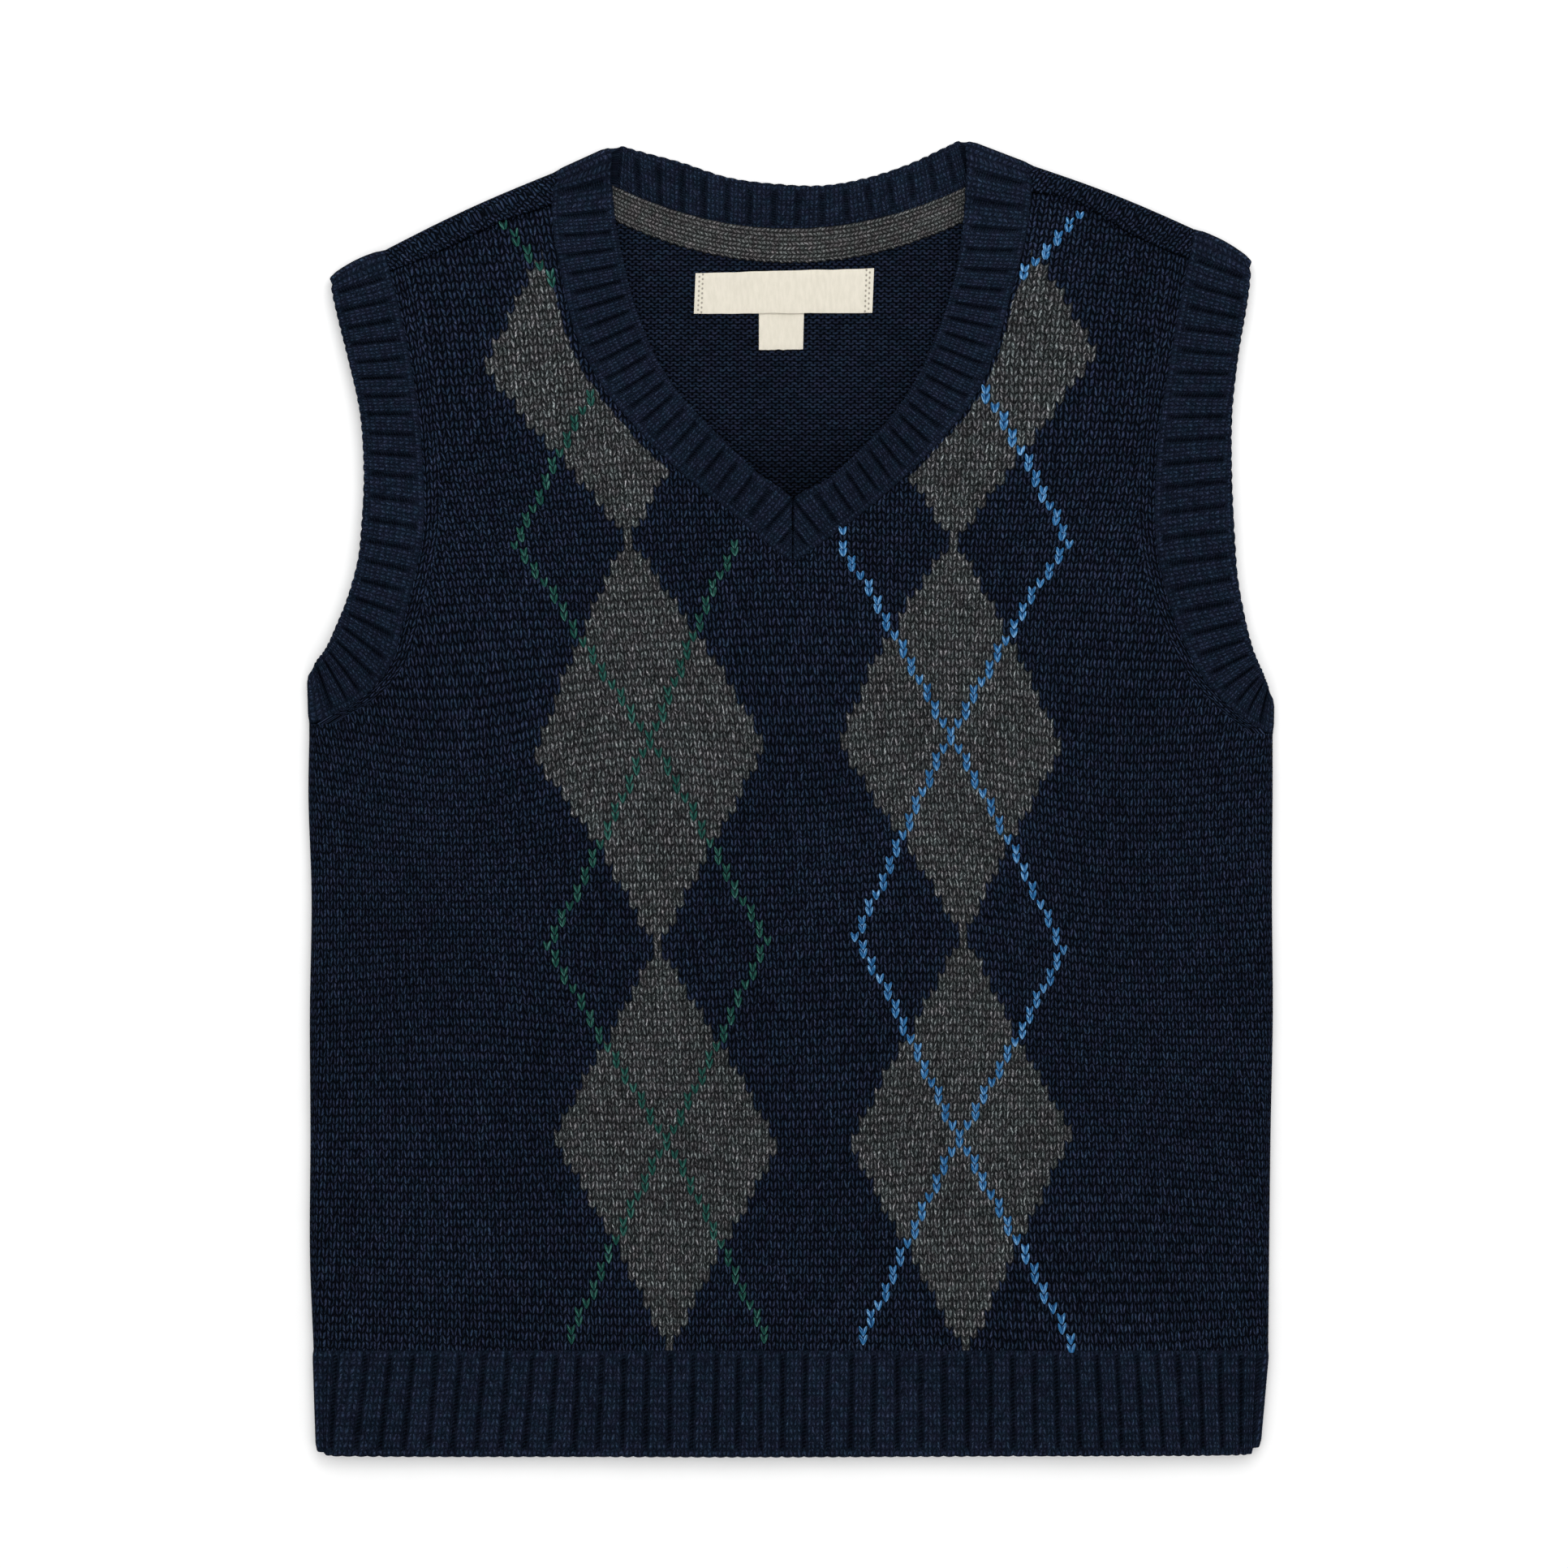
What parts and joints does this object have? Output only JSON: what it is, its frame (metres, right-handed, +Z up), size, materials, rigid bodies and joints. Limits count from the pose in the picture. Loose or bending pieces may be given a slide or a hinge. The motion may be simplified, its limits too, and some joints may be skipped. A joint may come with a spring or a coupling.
{
  "type": "knitted sweater vest",
  "caption": "Child's V-neck argyle sweater vest with ribbed neck, armholes and hem, laid flat with its front up.",
  "frame": {"origin": "centre of the ground that the laid-flat vest covers, on the surface that it lies on", "axes": "+Z up out of the front panel, +Y from the hem towards the neck, +X to the right as seen from above"},
  "size_m": [0.3384, 0.4621, 0.0069],
  "materials": {
    "plain_knit": "navy cotton stockinette, purl side inside",
    "argyle_knit": "navy cotton stockinette with charcoal heather diamonds and green and blue cross lines",
    "rib_knit": "navy cotton two by two rib",
    "grey_tape": "grey heather knitted tape",
    "label_tape": "bare cream woven label tape"
  },
  "bodies": {
    "root": {"back_panel": "plain_knit", "front_panel": "argyle_knit", "hem_rib_front": "rib_knit", "hem_rib_back": "rib_knit", "neck_band": "rib_knit", "armhole_band_left": "rib_knit", "armhole_band_right": "rib_knit", "neck_tape": "grey_tape", "label": "label_tape", "size_tab": "label_tape"}
  },
  "joints": []
}
